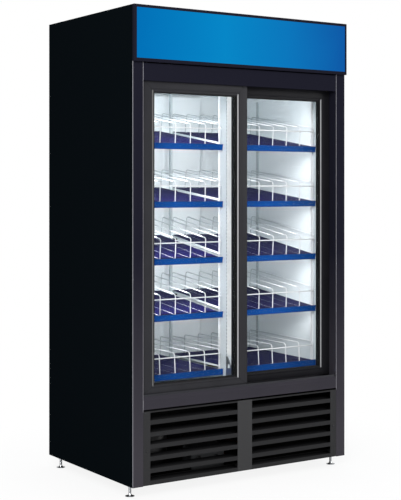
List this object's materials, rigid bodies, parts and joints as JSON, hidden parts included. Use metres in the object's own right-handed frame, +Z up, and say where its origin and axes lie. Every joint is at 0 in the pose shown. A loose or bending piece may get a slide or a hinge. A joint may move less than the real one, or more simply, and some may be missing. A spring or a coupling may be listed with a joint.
{
  "type": "refrigerated merchandiser",
  "caption": "Upright refrigerated display case with sliding glass doors, sloping gravity-feed wire shelves, a lit sign and a louvred grille over its cooling unit.",
  "frame": {"origin": "on the floor, under the middle of the bounding box", "axes": "+Z up, doors face -Y, +X to the right of someone facing the doors"},
  "size_m": [1.142, 0.784, 2.054],
  "materials": {
    "black_paint": "smooth semi-gloss powder coat",
    "galvanised_sheet": "dull spangled zinc coat",
    "white_liner": "smooth white coat",
    "white_wire": "dipped white coat on wire",
    "foam": "foamed in place",
    "door_black": "fine satin black on extruded frame",
    "door_glass": "clear double glazing",
    "seal_rubber": "matt black",
    "track_metal": "dark anodised",
    "zinc_steel": "zinc plated",
    "nylon": "natural nylon",
    "blue_sign": "lit translucent panel",
    "lamp_white": "lit diffuser",
    "mat_navy": "moulded, slightly glossy ribs",
    "strip_blue": "extruded label channel",
    "screw_steel": "pan heads",
    "compressor_black": "thick gloss enamel",
    "fin_aluminium": "bare fins",
    "copper": "drawn copper tube",
    "fan_plastic": "moulded",
    "motor_grey": "satin",
    "case_plastic": "moulded insulated tub",
    "control_grey": "satin",
    "knob_black": "moulded",
    "switch_black": "moulded",
    "chrome": "polished plating"
  },
  "bodies": {
    "cabinet": {"air_duct_cover": "white_liner", "back_panel": "galvanised_sheet", "base_pan": "galvanised_sheet", "bottom_track": "track_metal", "centre_post": "white_liner", "compressor": "compressor_black", "condensate_pan": "case_plastic", "condenser_coil": "fin_aluminium", "condenser_fan_motor": "motor_grey", "control_box": "control_grey", "door_jambs": "black_paint", "evaporator_case": "case_plastic", "evaporator_coil": "fin_aluminium", "evaporator_fan_motor": "motor_grey", "fan_shroud": "galvanised_sheet", "grille_screws": "screw_steel", "header_panel": "black_paint", "inner_liner": "white_liner", "insulation": "foam", "lane_mats": "mat_navy", "left_shelf_racks": "white_wire", "left_side_panel": "black_paint", "lower_grille": "black_paint", "post_brackets": "white_liner", "post_lamps": "lamp_white", "price_strips": "strip_blue", "rear_vent_cover": "galvanised_sheet", "refrigerant_lines": "copper", "right_shelf_racks": "white_wire", "right_side_panel": "black_paint", "shelf_clips": "white_liner", "shelf_standards": "white_liner", "sign_box": "black_paint", "sign_face": "blue_sign", "sign_lamps": "lamp_white", "sill_rail": "black_paint", "top_panel": "black_paint", "top_track": "track_metal"},
    "left_door": {"left_door_frame": "door_black", "left_door_glass": "door_glass", "left_door_seal": "seal_rubber", "left_door_hangers": "zinc_steel", "left_door_guides": "nylon"},
    "right_door": {"right_door_frame": "door_black", "right_door_glass": "door_glass", "right_door_seal": "seal_rubber", "right_door_hangers": "zinc_steel", "right_door_guides": "nylon"},
    "left_door_outer_roller": {"left_door_outer_roller": "nylon"},
    "left_door_inner_roller": {"left_door_inner_roller": "nylon"},
    "right_door_outer_roller": {"right_door_outer_roller": "nylon"},
    "right_door_inner_roller": {"right_door_inner_roller": "nylon"},
    "condenser_fan": {"condenser_fan": "fan_plastic"},
    "evaporator_fan": {"evaporator_fan": "fan_plastic"},
    "thermostat_knob": {"thermostat_knob": "knob_black"},
    "lamp_switch": {"lamp_switch": "switch_black"},
    "foot_front_left": {"foot_front_left": "chrome"},
    "foot_front_right": {"foot_front_right": "chrome"},
    "foot_rear_left": {"foot_rear_left": "chrome"},
    "foot_rear_right": {"foot_rear_right": "chrome"}
  },
  "joints": [
    {"name": "left_door_slide", "type": "slide", "parent": "cabinet", "child": "left_door", "axis": [1, 0, 0], "range_m": [0, 0.494]},
    {"name": "right_door_slide", "type": "slide", "parent": "cabinet", "child": "right_door", "axis": [-1, 0, 0], "range_m": [0, 0.494]},
    {"name": "left_door_outer_roller_turn", "type": "hinge", "parent": "left_door", "child": "left_door_outer_roller", "pos_m": [-0.436, -0.343, 1.7921], "axis": [0, 1, 0], "range_deg": [0, 1779]},
    {"name": "left_door_inner_roller_turn", "type": "hinge", "parent": "left_door", "child": "left_door_inner_roller", "pos_m": [-0.058, -0.343, 1.7921], "axis": [0, 1, 0], "range_deg": [0, 1779]},
    {"name": "right_door_outer_roller_turn", "type": "hinge", "parent": "right_door", "child": "right_door_outer_roller", "pos_m": [0.436, -0.309, 1.7921], "axis": [0, -1, 0], "range_deg": [0, 1779]},
    {"name": "right_door_inner_roller_turn", "type": "hinge", "parent": "right_door", "child": "right_door_inner_roller", "pos_m": [0.058, -0.309, 1.7921], "axis": [0, -1, 0], "range_deg": [0, 1779]},
    {"name": "condenser_fan_spin", "type": "hinge", "parent": "cabinet", "child": "condenser_fan", "pos_m": [0.292, -0.268, 0.17], "axis": [0, 1, 0], "continuous": true},
    {"name": "evaporator_fan_spin", "type": "hinge", "parent": "cabinet", "child": "evaporator_fan", "pos_m": [0, 0.267, 0.221], "axis": [0, 1, 0], "continuous": true},
    {"name": "thermostat_turn", "type": "hinge", "parent": "cabinet", "child": "thermostat_knob", "pos_m": [-0.2045, -0.326, 0.112], "axis": [0, 1, 0], "range_deg": [-135, 135]},
    {"name": "lamp_switch_rock", "type": "hinge", "parent": "cabinet", "child": "lamp_switch", "pos_m": [-0.1195, -0.326, 0.112], "axis": [1, 0, 0], "range_deg": [-16, 0]},
    {"name": "foot_front_left_screw", "type": "hinge", "parent": "cabinet", "child": "foot_front_left", "pos_m": [-0.543, -0.308, 0], "axis": [0, 0, 1], "continuous": true},
    {"name": "foot_front_right_screw", "type": "hinge", "parent": "cabinet", "child": "foot_front_right", "pos_m": [0.543, -0.308, 0], "axis": [0, 0, 1], "continuous": true},
    {"name": "foot_rear_left_screw", "type": "hinge", "parent": "cabinet", "child": "foot_rear_left", "pos_m": [-0.543, 0.327, 0], "axis": [0, 0, 1], "continuous": true},
    {"name": "foot_rear_right_screw", "type": "hinge", "parent": "cabinet", "child": "foot_rear_right", "pos_m": [0.543, 0.327, 0], "axis": [0, 0, 1], "continuous": true}
  ],
  "couplings": [
    {"joint": "left_door_outer_roller_turn", "follows": "left_door_slide", "rad_per_m": 62.5},
    {"joint": "left_door_inner_roller_turn", "follows": "left_door_slide", "rad_per_m": 62.5},
    {"joint": "right_door_outer_roller_turn", "follows": "right_door_slide", "rad_per_m": 62.5},
    {"joint": "right_door_inner_roller_turn", "follows": "right_door_slide", "rad_per_m": 62.5}
  ]
}
